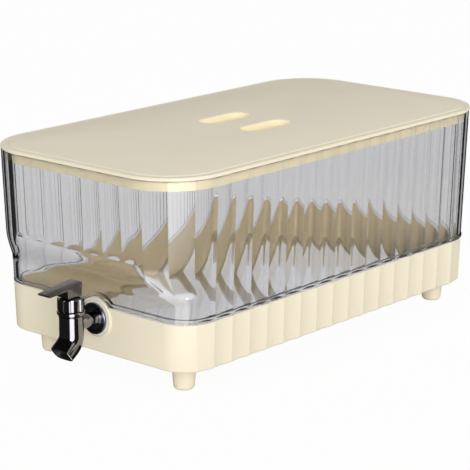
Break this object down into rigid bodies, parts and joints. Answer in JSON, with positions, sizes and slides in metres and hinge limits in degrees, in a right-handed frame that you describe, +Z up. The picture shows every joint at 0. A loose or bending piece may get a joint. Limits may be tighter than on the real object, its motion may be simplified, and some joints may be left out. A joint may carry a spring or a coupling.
{
  "type": "fridge water jug with tap",
  "caption": "Low clear drinks tank with fluted sides in an open footed frame, closed by a lid with two finger wells and drained by a lever tap at the front",
  "frame": {"origin": "middle of the bounding box's floor, on the plane that the feet stand on", "axes": "+Z up, -Y towards the tap, +X to the right of someone who faces the tap"},
  "size_m": [0.175, 0.3572, 0.1429],
  "materials": {
    "cream_plastic": "satin moulded cream plastic",
    "clear_plastic": "clear grey tinted moulded plastic, polished",
    "dark_chrome": "bright dark chrome plating on plastic",
    "brushed_chrome": "turned dark metal",
    "silicone": "pale translucent silicone",
    "spring_steel": "drawn wire",
    "nut_plastic": "moulded dark plastic"
  },
  "bodies": {
    "jug": {"tank": "clear_plastic", "base_frame": "cream_plastic", "foot_front_left": "cream_plastic", "foot_front_right": "cream_plastic", "foot_back_left": "cream_plastic", "foot_back_right": "cream_plastic", "tap_body": "dark_chrome", "flange_disc": "brushed_chrome", "outer_washer": "silicone", "inner_washer": "silicone", "back_nut": "nut_plastic", "bonnet_ring": "dark_chrome", "bonnet_cap": "dark_chrome", "stem_seal": "silicone", "return_spring": "spring_steel"},
    "lid": {"lid": "cream_plastic"},
    "stem": {"valve_stem": "dark_chrome", "valve_plug": "silicone"},
    "lever": {"lever": "dark_chrome", "lever_pin": "spring_steel"}
  },
  "joints": [
    {"name": "lid_lift", "type": "slide", "parent": "jug", "child": "lid", "axis": [0, 0, 1], "range_m": [0, 0.16]},
    {"name": "stem_lift", "type": "slide", "parent": "jug", "child": "stem", "axis": [0, 0, 1], "range_m": [0, 0.00237], "stiffness_N_per_m": 800, "springref_m": -0.002, "deforming": ["return_spring"]},
    {"name": "lever_tilt", "type": "hinge", "parent": "stem", "child": "lever", "pos_m": [0.005, -0.15575, 0.0629], "axis": [1, 0, 0], "range_deg": [0, 25]}
  ],
  "couplings": [
    {"joint": "lever_tilt", "follows": "stem_lift", "rad_per_m": 183.49}
  ]
}
